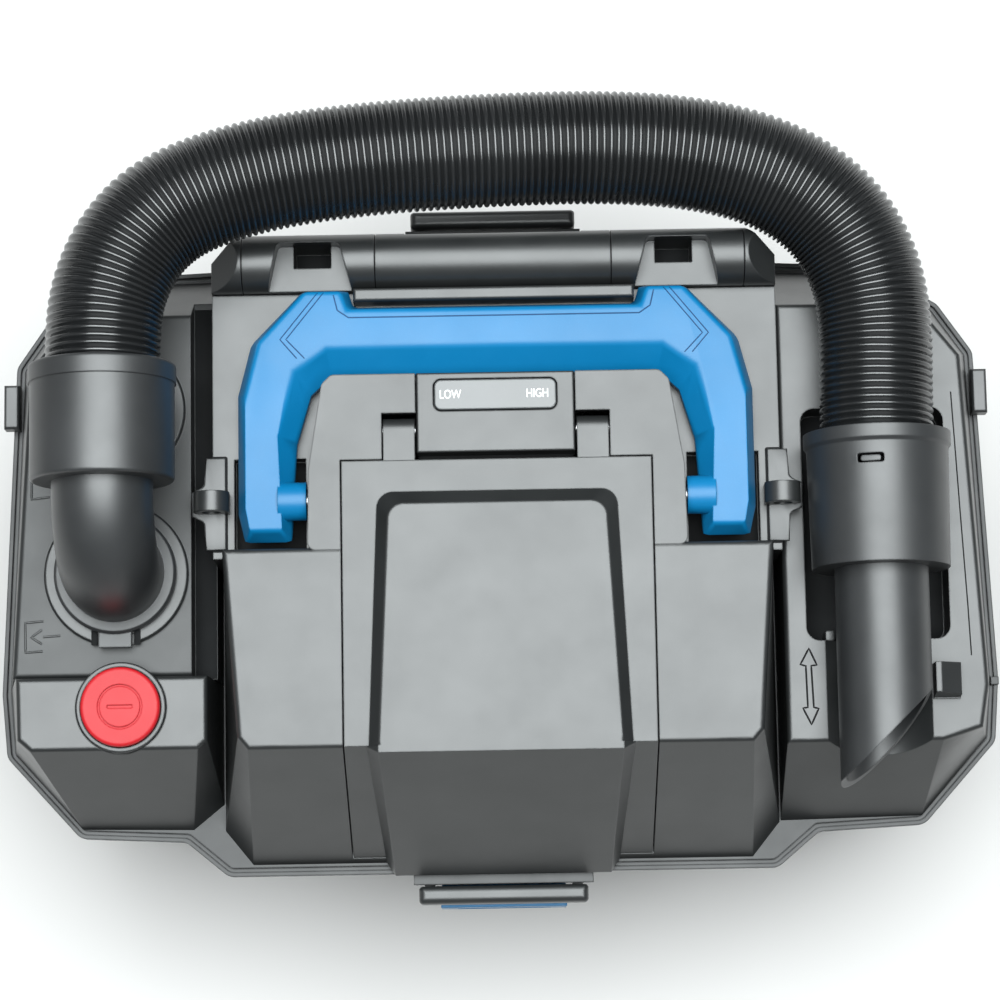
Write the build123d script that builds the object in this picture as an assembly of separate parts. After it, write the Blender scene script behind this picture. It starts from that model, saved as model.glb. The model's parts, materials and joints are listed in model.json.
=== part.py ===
from build123d import *
import math
import os

# Compact cordless shop vacuum, in millimetres. +Z is up, +X is the operator's right and -Y is the front.
# The origin is on the floor, under the middle of the machine.

# ---- driving dimensions ----
WALL = 3.0                 # moulded wall thickness
GAP = 0.3                  # gap between pieces that move past each other
FOOT_TOP = 6.0
RIM_TOP = 137.5            # top of the tank
BASE_LOW = 139.0           # underside of the head base
BASE_TOP = 144.0           # top of the seam flange
DECK_Z = 185.0             # side decks
FLOOR_Z = 193.0            # floor of the handle recess
POD_Z = 193.0              # top of the button housing
BLOCK_Z = 214.0            # top of the centre block
PAD_Z = 219.0              # raised pad of the battery lid
WELL_Z = 185.5             # floor of the wells under the handle's pivots
COVER_INSET = 3.2          # step from the flange's edge to the covers

PORT_X = -141.5            # axis of both ports, the elbow and the left cuff
SUCTION_Y = -11.6
BLOWER_Y = 50.0
PORT_R = 16.3              # bore of both ports
HOSE_R = 21.0              # outside of the hose's ridges
HOSE_BORE_R = 17.0
LEFT_Z = 229.0             # height of the left cuff's axis
RIGHT_X = 139.8            # axis of the right cuff and of the nozzle
RIGHT_Z = 203.5

PIVOT_Y = 12.0             # handle pivots
PIVOT_Z = 203.0
LID_HINGE_Y = 36.6
LID_HINGE_Z = 208.0
BUTTON_X = -139.0
BUTTON_Y = -61.6
MOTOR_Y = 52.0             # the motor stands upright at x = 0
LATCH_Y = 129.5            # latch pins, front and rear
LATCH_Z = 110.0

# The hose's route, from inside the left cuff, behind the rear bar, to inside the right cuff.
HOSE_ROUTE = [
    (-141.5, 45.0, 229.0),
    (-141.6, 65.0, 229.0),
    (-140.2, 85.5, 228.0),
    (-131.8, 104.8, 226.5),
    (-116.6, 119.5, 224.5),
    (-89.0, 129.8, 222.0),
    (-52.0, 136.0, 219.5),
    (-2.0, 139.8, 216.0),
    (44.0, 141.2, 212.5),
    (77.0, 138.8, 209.5),
    (104.5, 131.4, 207.5),
    (125.8, 117.0, 205.5),
    (137.6, 97.0, 204.0),
    (141.0, 75.5, 203.5),
    (140.2, 53.0, 203.5),
    (139.8, 31.0, 203.5),
]

# Half of the seam outline, from the front centre round to the rear centre.
SEAM_HALF = [
    (104, -122.3), (120, -109), (160, -107), (188, -76), (190, -52),
    (185, 75), (172, 94), (146, 110), (120, 111), (60, 113.6),
]


# ---- helpers ----
def both_sides(half):
    """A closed outline from its right half, which doesn't touch x = 0."""
    return half + [(-x, y) for x, y in reversed(half)]


def inset(points, distance):
    """The outline moved inwards by a distance, with mitred corners. Points run anticlockwise."""
    moved = []
    count = len(points)
    for i in range(count):
        a, b, c = (Vector(*points[(i + k) % count]) for k in (-1, 0, 1))
        before = (b - a).normalized()
        after = (c - b).normalized()
        normal = Vector(-before.Y - after.Y, before.X + after.X)
        scale = distance * 2 / normal.dot(normal)
        moved.append((b.X + normal.X * scale, b.Y + normal.Y * scale))
    return moved


def outline(points, z, corner=0.0):
    """A flat face inside the outline at height z, its corners rounded."""
    sketch = Polygon(*points, align=None)
    if corner:
        sketch = fillet(sketch.vertices(), corner)
    return Pos(0, 0, z) * sketch


def prism(points, z0, z1, corner=0.0):
    return extrude(outline(points, z0, corner), amount=z1 - z0, dir=(0, 0, 1))


def tapered(low_points, z0, high_points, z1, corner=0.0):
    """A solid with straight sides between two outlines with the same number of points."""
    sections = [outline(low_points, z0, corner).face(), outline(high_points, z1, corner).face()]
    return loft(sections, ruled=True)


def block(x0, x1, y0, y1, z0, z1):
    box = Box(x1 - x0, y1 - y0, z1 - z0)
    return Pos((x0 + x1) / 2, (y0 + y1) / 2, (z0 + z1) / 2) * box


def upright(x, y, z0, z1, r):
    return Pos(x, y, (z0 + z1) / 2) * Cylinder(r, z1 - z0)


def across(x0, x1, y, z, r):
    """A round bar along X."""
    return Pos((x0 + x1) / 2, y, z) * Rot(0, 90, 0) * Cylinder(r, x1 - x0)


def lengthways(x, y0, y1, z, r):
    """A round bar along Y."""
    return Pos(x, (y0 + y1) / 2, z) * Rot(90, 0, 0) * Cylinder(r, y1 - y0)


def side_profile(points, x0, x1):
    """A solid with a constant (y, z) outline from x0 to x1."""
    face = Plane.YZ * Polygon(*points, align=None)
    return Pos(x0, 0, 0) * extrude(face, amount=x1 - x0, dir=(1, 0, 0))


def mirrored(part):
    return mirror(part, about=Plane.YZ)


def soften(part, edges, radius):
    """Rounds those edges that take the radius."""
    chosen = ShapeList(edges)
    return fillet(chosen, radius) if chosen else part


def edges_at(part, z, spread=0.05):
    """The edges that lie flat at height z."""
    found = []
    for edge in part.edges():
        box = edge.bounding_box()
        if abs(box.min.Z - z) < spread and abs(box.max.Z - z) < spread:
            found.append(edge)
    return found


# ---- tank ----
SEAM = both_sides(SEAM_HALF)
TANK_TOP = inset(SEAM, 3.0)
TANK_LOW = inset(SEAM, 15.0)
PANEL_DEPTH = 1.2          # how far the tank's panels are sunk into its walls


def panel_windows():
    """Where the sunk panels are: front and rear, and both sides."""
    front = block(-92, 92, -140, -60, 26, 92)
    front += block(-92, 92, 60, 140, 26, 92)
    sides = block(-200, 200, -40, 62, 26, 92)
    for x in (-46, 46):
        front -= block(x - 4, x + 4, -141, 141, 20, 100)
    return fillet(front.edges().filter_by(Axis.Y), 3.0) + fillet(sides.edges().filter_by(Axis.X), 6.0)


def make_tank():
    outer = tapered(TANK_LOW, FOOT_TOP, TANK_TOP, 128.0, 6.0)
    core = tapered(inset(TANK_LOW, PANEL_DEPTH), FOOT_TOP, inset(TANK_TOP, PANEL_DEPTH), 128.0, 5.0)
    outer -= (outer - core) & panel_windows()
    outer += prism(inset(SEAM, 1.0), 128.0, RIM_TOP, 6.0)
    inner = tapered(inset(TANK_LOW, WALL), FOOT_TOP + WALL, inset(TANK_TOP, WALL), 128.0, 4.0)
    inner += prism(inset(TANK_TOP, WALL), 128.0, RIM_TOP, 4.0)
    tank = outer - inner
    for sign in (-1, 1):
        for x in (-28.6, 28.6):
            ear = block(x - 2.0, x + 2.0, 107.0 if sign > 0 else 116.0, LATCH_Y + 3.5, 104.0, 116.0)
            ear -= across(x - 3.0, x + 3.0, LATCH_Y, LATCH_Z, 2.0)
            tank += ear if sign > 0 else mirror(ear, about=Plane.XZ)
    return tank


def make_feet():
    feet = []
    for x, y in ((-140, -72), (140, -72), (-140, 72), (140, 72)):
        foot = upright(x, y, 0, FOOT_TOP, 14.0)
        feet.append(chamfer(edges_at(foot, 0.0), 1.5))
    return Compound(feet)


def make_rim_gasket():
    ring = prism(inset(SEAM, 1.4), RIM_TOP, BASE_LOW, 5.0)
    return ring - prism(inset(SEAM, 5.4), RIM_TOP, BASE_LOW, 3.0)


# ---- head base ----
PLATE_HOLE_R = 47.5
INLET_OUT_R = 19.3
SCREW_SPOTS = [(-96, -60), (96, -60), (-96, 60), (96, 60), (-165, 30), (165, 30)]


def make_head_base():
    base = prism(SEAM, BASE_LOW, BASE_TOP, 6.0)
    rebate = prism(inset(SEAM, 1.6), BASE_TOP - 1.6, BASE_TOP, 4.5)
    rebate -= prism(inset(SEAM, COVER_INSET), BASE_TOP - 1.6, BASE_TOP, 3.0)
    base -= rebate
    lip = prism(inset(SEAM, 6.6), 131.0, BASE_LOW, 3.0)
    lip -= prism(inset(SEAM, 9.0), 131.0, BASE_LOW, 2.0)
    base += lip
    base -= upright(0, MOTOR_Y, BASE_LOW - 1, BASE_TOP + 1, PLATE_HOLE_R)
    base -= upright(PORT_X, SUCTION_Y, BASE_LOW - 1, BASE_TOP + 1, INLET_OUT_R)
    base += block(-34, 34, -126.5, -120.0, BASE_LOW, BASE_TOP)
    base += block(-34, 34, 111.0, 126.5, BASE_LOW, BASE_TOP)
    for x, y in SCREW_SPOTS:
        base -= upright(x, y, BASE_LOW - 1, BASE_TOP + 1, 2.0)
    base += block(187.0, 190.0, -54.4, -51.4, BASE_LOW, BASE_TOP + 1.2)
    return base


def make_base_screws():
    screws = []
    for x, y in SCREW_SPOTS:
        screw = upright(x, y, BASE_LOW - 2.2, BASE_LOW, 3.6) + upright(x, y, BASE_LOW, BASE_TOP - 0.2, 1.9)
        screws.append(screw)
    return Compound(screws)


def make_side_hooks():
    hooks = []
    for side in (-1, 1):
        arm = block(183.2, 189.0, 50.0, 67.0, BASE_TOP, BASE_TOP + 7.0)
        arm -= block(185.0, 190.0, 54.0, 63.0, BASE_TOP - 1, BASE_TOP + 4.0)
        arm = chamfer(edges_at(arm, BASE_TOP + 7.0), 0.8)
        hooks.append(arm if side > 0 else mirrored(arm))
    return Compound(hooks)


# ---- side covers, with their foot on the flange and their top at deck height ----
WING_FOOT = [
    (105.4, -104.6), (159, -103.6), (184.6, -74.6), (186.2, -58.0), (186.6, -51.8),
    (181.7, 73.8), (169.6, 91.4), (144.9, 106.6), (105.4, 107.6),
]
WING_TOP = [
    (105.4, -77.5), (163, -77.5), (177.5, -73.5), (180.2, -58.0), (180.0, -51.8),
    (174.0, 66), (163, 80), (142, 86), (105.4, 86),
]
RECESS = (113.7, 166.8, -40.5, 46.4)
RECESS_Z = 168.0
GROOVE_R = 26.8            # the nozzle's groove, wider than the nozzle


def shell(foot, z0, top, z1):
    """A cover, open below, with its top edges and corners softened."""
    outer = tapered(foot, z0, top, z1)
    inner = tapered(inset(foot, WALL), z0, inset(top, WALL), z1 - WALL)
    outer = soften(outer, edges_at(outer, z1), 2.0)
    return outer, inner


def make_right_cover():
    outer, inner = shell(WING_FOOT, BASE_TOP, WING_TOP, DECK_Z)
    x0, x1, y0, y1 = RECESS
    tub = block(x0 - WALL, x1 + WALL, y0 - WALL, y1 + WALL, RECESS_Z - WALL, DECK_Z)
    saddle = lengthways(RIGHT_X, y1, 112.0, RIGHT_Z, HOSE_R + 1.5)
    saddle_wall = lengthways(RIGHT_X, y1, 112.0, RIGHT_Z, HOSE_R + 1.5 + WALL)
    saddle_wall += lengthways(RIGHT_X, -110.0, y0, RIGHT_Z, GROOVE_R + WALL)
    cover = outer - (inner - tub - saddle_wall)
    pocket = block(x0, x1, y0, y1, RECESS_Z, DECK_Z + 1)
    upright_edges = pocket.edges().filter_by(Axis.Z)
    cover -= fillet(upright_edges, 5.0)
    cover -= saddle
    cover -= lengthways(RIGHT_X, -110.0, y0 + 0.1, RIGHT_Z, GROOVE_R)
    return cover


LEFT_FOOT = [
    (-105.4, 107.6), (-144.9, 106.6), (-169.6, 91.4), (-181.7, 73.8), (-186.5, -49.8), (-105.4, -49.8),
]
LEFT_TOP = [(-105.4, 86), (-142, 86), (-163, 80), (-174, 66), (-180, -49.8), (-105.4, -49.8)]


def make_left_cover():
    outer, inner = shell(LEFT_FOOT, BASE_TOP, LEFT_TOP, DECK_Z)
    channel_wall = block(-113.8 - WALL, -100.0, -49.8, 112.0, 168.0, DECK_Z)
    cover = outer - (inner - channel_wall)
    cover -= block(-113.8, -100.0, -51.0, 112.0, 171.0, DECK_Z + 1)
    for y in (SUCTION_Y, BLOWER_Y):
        cover -= upright(PORT_X, y, DECK_Z - 6, DECK_Z + 1, 20.3)
    return cover


# ---- button housing ----
POD_FOOT = [
    (-105.4, -50.2), (-186.6, -50.2), (-184.6, -75.0), (-159, -103.6), (-117, -104.4), (-105.4, -95.0),
]
POD_TOP = [
    (-107.5, -50.2), (-177.6, -50.2), (-177.0, -73.0), (-172.5, -76.8), (-111.0, -76.8), (-107.5, -73.5),
]


def make_button_housing():
    outer, inner = shell(POD_FOOT, BASE_TOP, POD_TOP, POD_Z)
    housing = outer - inner
    return housing - upright(BUTTON_X, BUTTON_Y, POD_Z - 10, POD_Z + 1, 16.7)


def make_bezel():
    ring = upright(BUTTON_X, BUTTON_Y, POD_Z - WALL, POD_Z + 1.6, 16.6)
    ring = chamfer(edges_at(ring, POD_Z + 1.6), 0.5)
    return ring - upright(BUTTON_X, BUTTON_Y, POD_Z - WALL - 1, POD_Z + 3, 14.9)


def make_power_button():
    cap = upright(BUTTON_X, BUTTON_Y, POD_Z - 1.2, POD_Z + 4.6, 14.6)
    cap = fillet(edges_at(cap, POD_Z + 4.6), 1.4)
    ring = upright(BUTTON_X, BUTTON_Y, POD_Z + 4.1, POD_Z + 5, 8.2)
    ring -= upright(BUTTON_X, BUTTON_Y, POD_Z + 3, POD_Z + 6, 7.4)
    ring += block(BUTTON_X - 4.6, BUTTON_X + 4.6, BUTTON_Y - 0.6, BUTTON_Y + 0.6, POD_Z + 4.1, POD_Z + 5)
    stem = upright(BUTTON_X, BUTTON_Y, 183.5, POD_Z - 1.2, 4.0)
    return cap + stem - ring


def make_power_switch():
    body = block(BUTTON_X - 9, BUTTON_X + 9, BUTTON_Y - 7, BUTTON_Y + 7, BASE_TOP, 172.0)
    return body + upright(BUTTON_X, BUTTON_Y, 172.0, 179.5, 3.0)


def make_button_spring():
    spring = upright(BUTTON_X, BUTTON_Y, 172.0, POD_Z - 1.2, 6.4)
    return spring - upright(BUTTON_X, BUTTON_Y, 171.0, POD_Z, 5.2)


# ---- centre cover: front block, raised rear block, and the recess floor round it ----
HUMP_FOOT = both_sides([(94.5, -118.0), (105.0, -105.0), (105.0, -6.5)])
HUMP_TOP = both_sides([(91.0, -78.8), (94.6, -74.5), (100.0, -6.5)])
NECK = both_sides([(69.0, -7.5), (68.5, 22.0), (63.5, 53.5), (60.0, 57.0)])
FLOOR_PLAN = both_sides([(105.0, -7.5), (105.0, 91.6)])
LID_SIDE = 56.9            # half the width of the lid's opening
LID_BACK = 25.4
BEVEL_TOP_Y = -78.8
BEVEL_LOW_Y = -118.0


def bevel_y(z, depth=0.0):
    """Where the front bevel is at height z, moved in by a depth along y."""
    share = (BLOCK_Z - z) / (BLOCK_Z - BASE_TOP)
    return BEVEL_TOP_Y + (BEVEL_LOW_Y - BEVEL_TOP_Y) * share + depth


def make_centre_cover():
    front = tapered(HUMP_FOOT, BASE_TOP, HUMP_TOP, BLOCK_Z)
    front = soften(front, edges_at(front, BLOCK_Z), 2.0)
    neck = prism(NECK, BASE_TOP, BLOCK_Z, 3.0)
    floor = prism(FLOOR_PLAN, BASE_TOP, FLOOR_Z)
    cover = front + neck + floor
    cavity = tapered(inset(HUMP_FOOT, WALL), BASE_TOP, inset(HUMP_TOP, WALL), BLOCK_Z - WALL)
    cavity += prism(inset(NECK, WALL), BASE_TOP, BLOCK_Z - WALL)
    rear = prism(inset(FLOOR_PLAN, WALL), BASE_TOP, FLOOR_Z - WALL)
    rear += block(-60, 60, -20, 20, BASE_TOP, FLOOR_Z - WALL)
    scoop_wall = block(-48, 48, 59.5, 92, 169.0, FLOOR_Z)
    for side in (-1, 1):
        x0, x1 = sorted((side * 67.5, side * 100.0))
        scoop_wall += block(x0, x1, -9.5, 32.5, WELL_Z - WALL, FLOOR_Z)
    cover -= cavity
    cover -= rear - scoop_wall
    cover -= block(-45, 45, 61.5, 86.0, 172.0, FLOOR_Z + 1)
    for side in (-1, 1):
        x0, x1 = sorted((side * 70.5, side * 97.0))
        cover -= block(x0, x1, -6.5, 29.5, WELL_Z, FLOOR_Z + 1)
        cover -= across(*sorted((side * 62.0, side * 73.0)), PIVOT_Y, PIVOT_Z, 3.2)
    cover -= lid_opening()
    cover -= block(-29.2, 29.2, 25.3, 60.0, 206.0, BLOCK_Z + 1)
    for side in (-1, 1):
        cover -= block(*sorted((side * 29.2, side * 41.6)), 24.0, 42.4, 202.5, BLOCK_Z + 1)
    return cover


def lid_opening():
    """The space that the lid fills: its top and its part of the front bevel."""
    points = [
        (LID_BACK, 190.0), (LID_BACK, BLOCK_Z + 1), (-140.0, BLOCK_Z + 1), (-140.0, 147.0),
        (bevel_y(147.0, 8.0), 147.0), (bevel_y(190.0, 8.0), 190.0),
    ]
    return side_profile(points, -LID_SIDE, LID_SIDE)


# ---- battery lid ----
LID_T = 4.0
LID_HALF = 56.4
LID_LOW_Z = 147.5          # lower edge of the lid's front


def make_battery_lid():
    run = math.dist((BEVEL_TOP_Y, BLOCK_Z), (BEVEL_LOW_Y, BASE_TOP))
    back = LID_T * run / (BLOCK_Z - BASE_TOP)
    skin = [
        (25.0, BLOCK_Z), (BEVEL_TOP_Y, BLOCK_Z), (bevel_y(LID_LOW_Z), LID_LOW_Z),
        (bevel_y(LID_LOW_Z, back), LID_LOW_Z), (bevel_y(BLOCK_Z - LID_T, back), BLOCK_Z - LID_T),
        (23.6, BLOCK_Z - LID_T),
    ]
    lid = side_profile(skin, -LID_HALF, LID_HALF)
    for side in (-1, 1):
        rib_x = sorted((side * LID_HALF, side * (LID_HALF - 2.0)))
        lid += block(*rib_x, -74.0, 18.0, 206.3, BLOCK_Z - 1)
    front_foot = bevel_y(LID_LOW_Z)
    pad_low = both_sides([(48.6, -86.0), (44.4, 14.4)])
    pad_top = both_sides([(44.0, -83.0), (39.4, 8.4)])
    pad = tapered(pad_low, BLOCK_Z - 1, pad_top, PAD_Z, 6.0)
    pad = soften(pad, edges_at(pad, PAD_Z), 1.2)
    pad -= block(-60, 60, -100, -78.8, BLOCK_Z - 2, PAD_Z + 1)
    slab_low = both_sides([(40.7, front_foot - 7.0), (44.0, front_foot - 1.9), (44.0, front_foot + 2.0)])
    slab_top = both_sides([(44.0, -81.5), (48.6, -76.4), (48.6, -72.4)])
    slab = tapered(slab_low, LID_LOW_Z, slab_top, PAD_Z)
    under = block(-60, 60, -140, 0, 140, BLOCK_Z)
    wide = both_sides([(48.6, -140), (48.6, 0)])
    narrow = both_sides([(44.0, -140), (44.0, 0)])
    ahead = tapered(wide, BLOCK_Z, narrow, PAD_Z)
    slab = slab & (under + ahead)
    pad += slab - block(-60, 60, -78.8, 0, BLOCK_Z - 0.9, PAD_Z + 1)
    lid += pad
    for side in (-1, 1):
        arm = block(*sorted((side * 29.6, side * 41.2)), 20.0, LID_HINGE_Y, 205.0, 212.6)
        arm += across(*sorted((side * 29.6, side * 41.2)), LID_HINGE_Y, LID_HINGE_Z, 4.6)
        arm -= across(*sorted((side * 29.0, side * 42.0)), LID_HINGE_Y, LID_HINGE_Z, 2.06)
        arm -= block(*sorted((side * 29.0, side * 42.0)), 19.0, 25.0, 200.0, 209.0)
        lid += arm
    return lid


def make_lid_pins():
    pins = [across(*sorted((side * 29.3, side * 41.5)), LID_HINGE_Y, LID_HINGE_Z, 2.0) for side in (-1, 1)]
    return Compound(pins)


# ---- control panel and rocker ----
ROCKER_Y = (43.0, 54.3)


def make_control_panel():
    panel = block(-28.8, 28.8, 27.5, 57.0, 206.0, BLOCK_Z + 0.6)
    panel = soften(panel, edges_at(panel, BLOCK_Z + 0.6), 0.8)
    window = block(-22.7, 22.7, ROCKER_Y[0] - 0.4, ROCKER_Y[1] + 0.4, 208.0, BLOCK_Z + 2)
    panel -= fillet(window.edges().filter_by(Axis.Z), 3.0)
    return panel - lengthways(0, 40.0, 57.5, 210.4, 1.05)


def make_rocker():
    plate = block(-22.3, 22.3, ROCKER_Y[0], ROCKER_Y[1], 211.8, BLOCK_Z + 1.2)
    plate = fillet(plate.edges().filter_by(Axis.Z), 2.6)
    plate = soften(plate, edges_at(plate, BLOCK_Z + 1.2), 0.6)
    hub = block(-3.0, 3.0, ROCKER_Y[0], ROCKER_Y[1], 208.9, 212.0)
    return plate + hub - lengthways(0, 42.0, 55.0, 210.4, 1.1)


def make_rocker_pin():
    return lengthways(0, 40.4, 56.8, 210.4, 1.0)


# ---- rear bar ----
BAR_FRONT = 91.9
BAR_BACK = 113.4
BAR_R = (BAR_BACK - BAR_FRONT) / 2
BAR_AXIS_Y = (BAR_BACK + BAR_FRONT) / 2
BAR_AXIS_Z = 206.0 - BAR_R
SEAM_X = 43.6
POCKET_X = 93.0
BAR_END = 105.0


def bar_blank(x0, x1, smaller=0.0):
    """The bar's section, half round on top, from x0 to x1; smaller takes that much off its outside."""
    low = BASE_TOP
    body = block(x0, x1, BAR_FRONT + smaller, BAR_BACK - smaller, low, BAR_AXIS_Z)
    return body + across(x0, x1, BAR_AXIS_Y, BAR_AXIS_Z, BAR_R - smaller)


def make_bar_centre():
    bar = bar_blank(-SEAM_X, SEAM_X)
    bar -= block(-33.0, 33.0, BAR_BACK - 1.8, BAR_BACK + 1, BASE_TOP - 1, 200.0)
    return bar - bar_blank(-SEAM_X + WALL, SEAM_X - WALL, WALL + 1.0)


def make_bar_side(side):
    bar = bar_blank(SEAM_X + GAP, POCKET_X)
    bar -= bar_blank(SEAM_X + WALL, POCKET_X - WALL, WALL) & block(0, 200, 80, 120, 0, 176.0)
    pocket = prism([(52, 90), (84, 90), (80, 109), (57, 109)], 196.5, 210.0, 2.0)
    bar -= pocket
    bar -= block(60.3, 74.2, 100.7, 109.7, 179.0, 200.0)
    return bar if side > 0 else mirrored(bar)


def make_bar_end(side):
    end = bar_blank(POCKET_X + GAP, BAR_END)
    wedge = prism([(90.0, 118.0), (93.3, 113.5), (105.1, 103.0), (108.0, 118.0)], BASE_TOP - 1, 210.0)
    end -= wedge
    slope = [(93.0, 210.0), (94.0, 206.5), (105.1, 196.0), (108.0, 210.0)]
    end -= extrude(Plane.XZ.offset(-120) * Polygon(*slope, align=None), amount=40, dir=(0, -1, 0))
    return end if side > 0 else mirrored(end)


def make_grip_rest():
    rest = block(-52.0, 52.0, 86.6, 91.6, FLOOR_Z, 203.0)
    return soften(rest, edges_at(rest, 203.0), 1.2)


# ---- handle ----
HANDLE_LOW = 195.0
HANDLE_TOP = 208.0


def make_handle():
    outer = [
        (75.6, -2.8), (92.5, -2.8), (95.0, 8.0), (95.0, 52.0),
        (90.0, 71.5), (71.0, 91.2), (54.0, 91.2), (52.0, 84.8),
    ]
    inner = [(60.0, 59.4), (68.0, 52.0), (73.4, 34.0)]
    outer_top = [
        (78.5, 0.4), (90.2, 0.4), (91.8, 9.0), (91.8, 51.5),
        (87.0, 70.6), (69.8, 89.4), (56.4, 89.4), (54.2, 82.4),
    ]
    inner_top = [(62.0, 68.5), (74.0, 60.0), (80.0, 36.0)]
    low = both_sides_open(outer, inner)
    high = both_sides_open(outer_top, inner_top)
    bail = prism(low, HANDLE_LOW, 199.0) + tapered(low, 199.0, high, HANDLE_TOP)
    for side in (-1, 1):
        boss_x = sorted((side * 69.6, side * 80.0))
        bail += across(*boss_x, PIVOT_Y, PIVOT_Z, 7.0)
        bail -= across(*sorted((side * 69.0, side * 90.0)), PIVOT_Y, PIVOT_Z, 3.06)
        toe = [(-4.0, 194.0), (-4.0, 201.0), (3.5, 194.0)]
        bail -= side_profile(toe, *sorted((side * 70.0, side * 100.0)))
    return bail


def both_sides_open(outer, inner):
    """A bail's closed outline: outer is the right leg from toe to grip, inner is the way back."""
    left = [(-x, y) for x, y in reversed(outer)]
    left_inner = [(-x, y) for x, y in reversed(inner)]
    return outer + left + left_inner + inner


def make_handle_pins():
    pins = []
    for side in (-1, 1):
        pin = across(*sorted((side * 62.6, side * 88.0)), PIVOT_Y, PIVOT_Z, 3.0)
        pins.append(pin)
    return Compound(pins)


# ---- strap eyelets ----
EYELET_X = 105.0


def make_eyelets():
    rings = []
    for side in (-1, 1):
        x = side * EYELET_X
        ring = lengthways(x, 9.0, 16.5, 199.6, 6.6)
        ring += block(*sorted((side * 98.6, side * 104.8)), 9.0, 16.5, FLOOR_Z, 199.6)
        rings.append(ring - lengthways(x, 8.0, 17.5, 199.6, 3.6))
    return Compound(rings)


# ---- ports ----
def make_suction_port():
    ring = upright(PORT_X, SUCTION_Y, DECK_Z, DECK_Z + 2.4, 26.8)
    ring = chamfer(edges_at(ring, DECK_Z + 2.4), 0.8)
    ring += upright(PORT_X, SUCTION_Y, DECK_Z - 6.0, DECK_Z, 20.2)
    ring -= upright(PORT_X, SUCTION_Y, DECK_Z - 7, DECK_Z + 4, PORT_R)
    ring -= block(PORT_X - 7, PORT_X + 7, SUCTION_Y - 30, SUCTION_Y - 22, DECK_Z + 0.8, DECK_Z + 4)
    return ring


def make_blower_port():
    ring = upright(PORT_X, BLOWER_Y, DECK_Z, DECK_Z + 2.4, 25.8)
    ring = chamfer(edges_at(ring, DECK_Z + 2.4), 0.8)
    ring += upright(PORT_X, BLOWER_Y, 152.0, DECK_Z, 20.2)
    ring -= upright(PORT_X, BLOWER_Y, 150.0, DECK_Z + 4, PORT_R)
    return ring


def make_inlet_duct():
    duct = upright(PORT_X, SUCTION_Y, 112.0, DECK_Z - 6.0, 19.0)
    duct += block(PORT_X - 19, PORT_X + 19, SUCTION_Y - 19, SUCTION_Y + 19, 100.0, 112.0)
    duct -= upright(PORT_X, SUCTION_Y, 111.0, DECK_Z, PORT_R)
    duct -= block(PORT_X - 16.5, PORT_X + 16.5, SUCTION_Y - 20, SUCTION_Y + 16.5, 102.5, 112.5)
    return duct


# ---- elbow, cuffs, nozzle and hose ----
BEND_R = 28.0
ELBOW_R = 18.25


def elbow_bar(radius, leg_low, leg_back):
    """A round bar up the port's axis, through the bend and back along Y."""
    bend_y = SUCTION_Y + BEND_R
    bend_z = LEFT_Z - BEND_R
    bar = upright(PORT_X, SUCTION_Y, leg_low, bend_z, radius)
    bar += lengthways(PORT_X, bend_y, leg_back, LEFT_Z, radius)
    section = Plane(origin=(PORT_X, SUCTION_Y, bend_z), z_dir=(0, 0, 1)) * Circle(radius)
    axis = Axis((PORT_X, bend_y, bend_z), (-1, 0, 0))
    return bar + revolve(section, axis, 90)


def make_elbow():
    body = elbow_bar(ELBOW_R, DECK_Z + 6.0, 38.0)
    body += upright(PORT_X, SUCTION_Y, 168.0, DECK_Z + 6.0, PORT_R - 0.3)
    collar = upright(PORT_X, SUCTION_Y, DECK_Z + 2.8, DECK_Z + 7.0, 22.6)
    body += chamfer(edges_at(collar, DECK_Z + 7.0), 1.0)
    body += block(PORT_X - 6, PORT_X + 6, SUCTION_Y - 27.5, SUCTION_Y - 20, DECK_Z + 2.8, DECK_Z + 5.6)
    return body - elbow_bar(13.6, 167.0, 39.0)


def make_left_cuff():
    cuff = lengthways(PORT_X, 16.5, 52.6, LEFT_Z, 26.0)
    cuff += lengthways(PORT_X, 52.0, 59.0, LEFT_Z, 26.6)
    cuff = soften(cuff, end_edges(cuff, 16.5) + end_edges(cuff, 59.0), 1.4)
    cuff -= lengthways(PORT_X, 39.0, 60.0, LEFT_Z, HOSE_R + 0.3)
    return cuff - lengthways(PORT_X, 16.0, 40.0, LEFT_Z, ELBOW_R + 0.05)


def end_edges(part, y):
    """The round edges of a bar along Y at one of its ends."""
    found = []
    for edge in part.edges():
        box = edge.bounding_box()
        if abs(box.min.Y - y) < 0.05 and abs(box.max.Y - y) < 0.05:
            found.append(edge)
    return found


NOZZLE_R = 17.15
CUFF_FRONT = -16.5
CUFF_BACK = 33.0
WINDOW_TURN = 12.0         # degrees that the right cuff's window is turned towards the machine


def make_right_cuff():
    section = [
        (25.2, CUFF_FRONT), (26.0, 27.0), (27.0, 28.4), (27.0, CUFF_BACK),
        (HOSE_R + 0.3, CUFF_BACK), (HOSE_R + 0.3, 12.0),
        (NOZZLE_R + 0.05, 12.0), (NOZZLE_R + 0.05, CUFF_FRONT),
    ]
    plane = Plane(origin=(RIGHT_X, 0, RIGHT_Z), x_dir=(1, 0, 0), z_dir=(0, 0, 1))
    profile = plane * Polygon(*section, align=None)
    cuff = revolve(profile, Axis((RIGHT_X, 0, RIGHT_Z), (0, 1, 0)), 360)
    window = block(-4.8, 4.8, 19.0, 22.4, 20, 30)
    window = fillet(window.edges().filter_by(Axis.Z), 0.9)
    return cuff - window.rotate(Axis.Y, -WINDOW_TURN).translate((RIGHT_X, 0, RIGHT_Z))


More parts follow.
